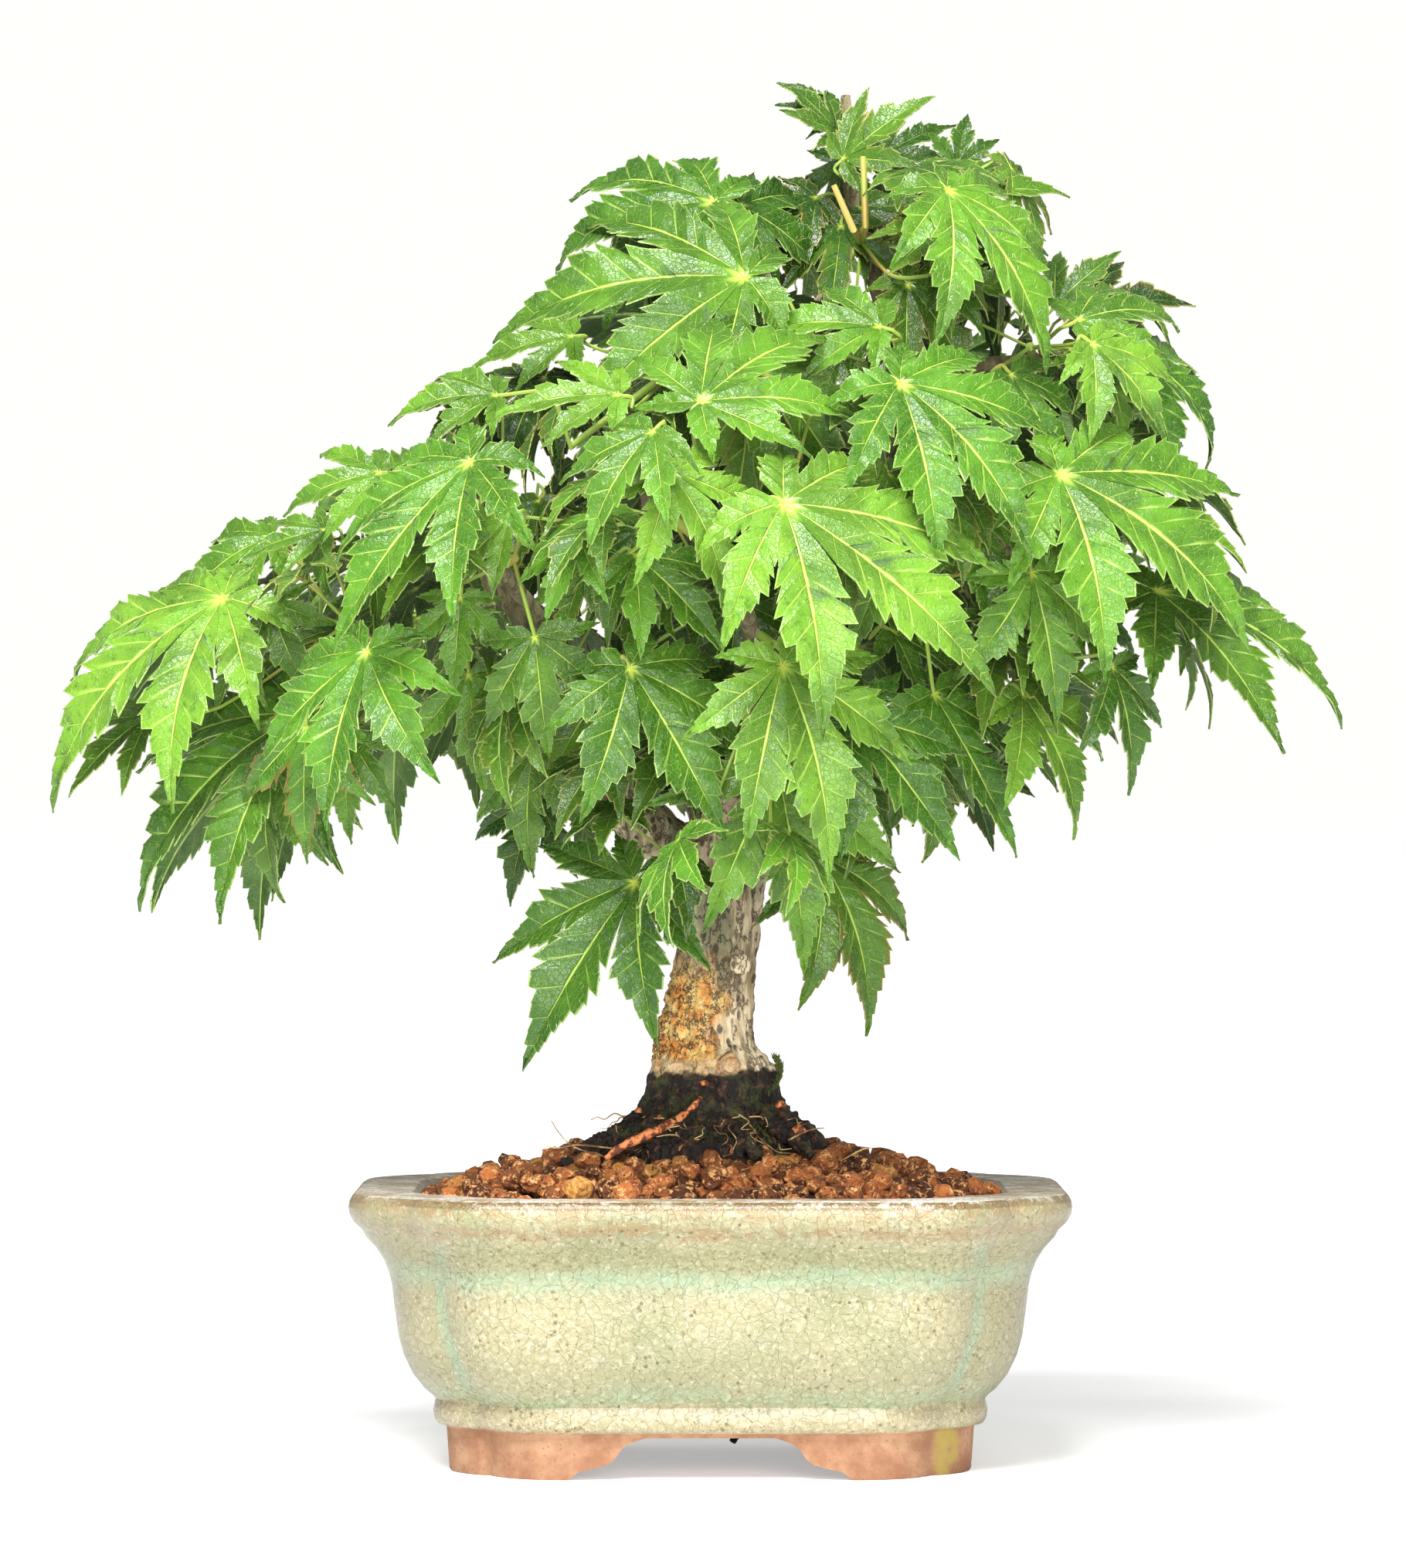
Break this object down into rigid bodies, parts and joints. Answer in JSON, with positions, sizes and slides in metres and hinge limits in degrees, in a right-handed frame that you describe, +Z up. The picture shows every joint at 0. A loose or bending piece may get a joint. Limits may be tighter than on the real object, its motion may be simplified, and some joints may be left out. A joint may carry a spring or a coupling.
{
  "type": "shishigashira maple bonsai",
  "caption": "Small Japanese maple bonsai with a two-stemmed trunk and drooping lobed leaves, standing in a lobed oval glazed pot on low feet, filled with baked-clay granules.",
  "frame": {"origin": "on the surface it stands on, under the middle of the pot; the bottom centre of the bounding box lies within 2 mm of it", "axes": "+Z up along the trunk, -Y towards the viewer of the pictured side, +X to the viewer's right along the pot's long side"},
  "size_m": [0.267, 0.2108, 0.2878],
  "materials": {
    "glaze": "gloss",
    "screen": "matte",
    "wire": "matte",
    "soil": "matte",
    "bark": "matte",
    "leaf": "satin"
  },
  "bodies": {
    "root": {"pot": "glaze", "drain_screen": "screen", "drain_wire": "wire", "soil": "soil", "trunk": "bark", "spray_apex": "leaf", "spray_back_centre": "leaf", "spray_back_centre_left": "leaf", "spray_back_crown": "leaf", "spray_back_front_right": "leaf", "spray_back_left": "leaf", "spray_back_left_high": "leaf", "spray_back_left_low": "leaf", "spray_back_low": "leaf", "spray_back_low_left": "leaf", "spray_back_right": "leaf", "spray_back_right_high": "leaf", "spray_back_right_low": "leaf", "spray_back_right_top": "leaf", "spray_back_top": "leaf", "spray_centre": "leaf", "spray_centre_left": "leaf", "spray_centre_right": "leaf", "spray_crown_front": "leaf", "spray_crown_mid": "leaf", "spray_end_left": "leaf", "spray_end_right": "leaf", "spray_end_right_low": "leaf", "spray_front_left_low": "leaf", "spray_front_low": "leaf", "spray_left_crown": "leaf", "spray_left_front": "leaf", "spray_left_inner": "leaf", "spray_left_low": "leaf", "spray_left_tip": "leaf", "spray_left_under": "leaf", "spray_left_upper": "leaf", "spray_right_front": "leaf", "spray_right_low": "leaf", "spray_right_mid": "leaf", "spray_right_shoulder": "leaf", "spray_right_tip": "leaf", "spray_right_under": "leaf", "spray_right_upper": "leaf", "spray_top_left": "leaf", "spray_top_right": "leaf", "spray_trunk_left": "leaf", "spray_trunk_sprig_left": "leaf", "spray_trunk_sprig_right": "leaf", "spray_upper_inner": "leaf"}
  },
  "joints": []
}
